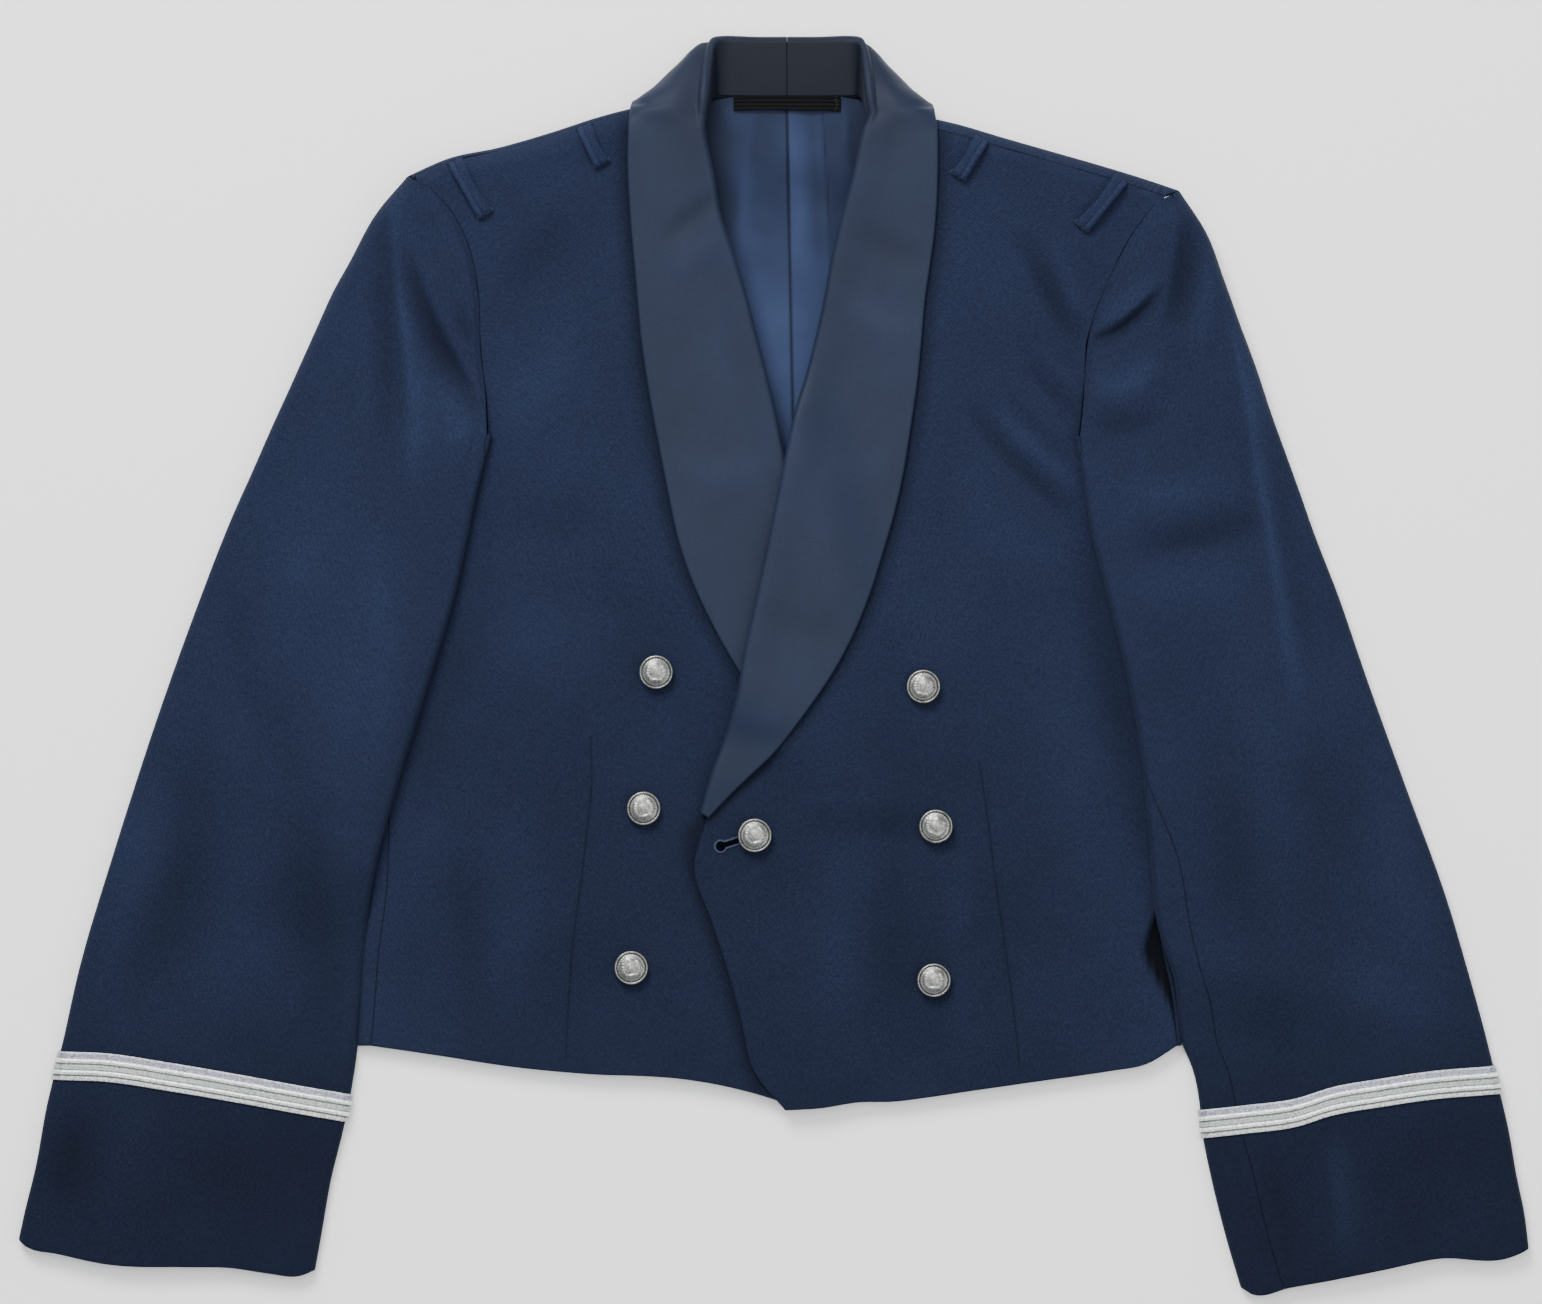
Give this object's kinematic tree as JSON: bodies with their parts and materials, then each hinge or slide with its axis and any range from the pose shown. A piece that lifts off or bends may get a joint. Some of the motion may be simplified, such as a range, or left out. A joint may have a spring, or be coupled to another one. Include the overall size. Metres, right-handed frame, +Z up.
{
  "type": "military dress jacket",
  "caption": "Short double-breasted dress jacket with a shawl collar, braided cuffs and shoulder loops, laid out flat.",
  "frame": {"origin": "on the surface that the jacket lies on, under the centre-back line about midway between the neck seam and the hem", "axes": "+X from the wearer's right to the wearer's left, +Y from the hem to the collar, +Z up from the surface"},
  "size_m": [0.8446, 0.7047, 0.0329],
  "materials": {
    "navy_wool": "matt wool barathea",
    "collar_satin": "satin",
    "lining_satin": "satin",
    "silver_lace": "metallic braid",
    "aged_silver": "aged silver",
    "black_tape": "woven tape"
  },
  "bodies": {
    "root": {"back": "navy_wool", "back_lining": "lining_satin", "front_right": "navy_wool", "front_left": "navy_wool", "top_sleeve_right": "navy_wool", "top_sleeve_left": "navy_wool", "under_sleeve_right": "navy_wool", "under_sleeve_left": "navy_wool", "collar_right": "collar_satin", "collar_left": "collar_satin", "hanger_loop": "black_tape", "shoulder_loop_right_outer": "navy_wool", "shoulder_loop_right_inner": "navy_wool", "shoulder_loop_left_inner": "navy_wool", "shoulder_loop_left_outer": "navy_wool", "cuff_lace_right": "silver_lace", "cuff_lace_left": "silver_lace", "button_1": "aged_silver", "button_2": "aged_silver", "button_3": "aged_silver", "button_4": "aged_silver", "button_5": "aged_silver", "button_6": "aged_silver", "button_7": "aged_silver"}
  },
  "joints": []
}
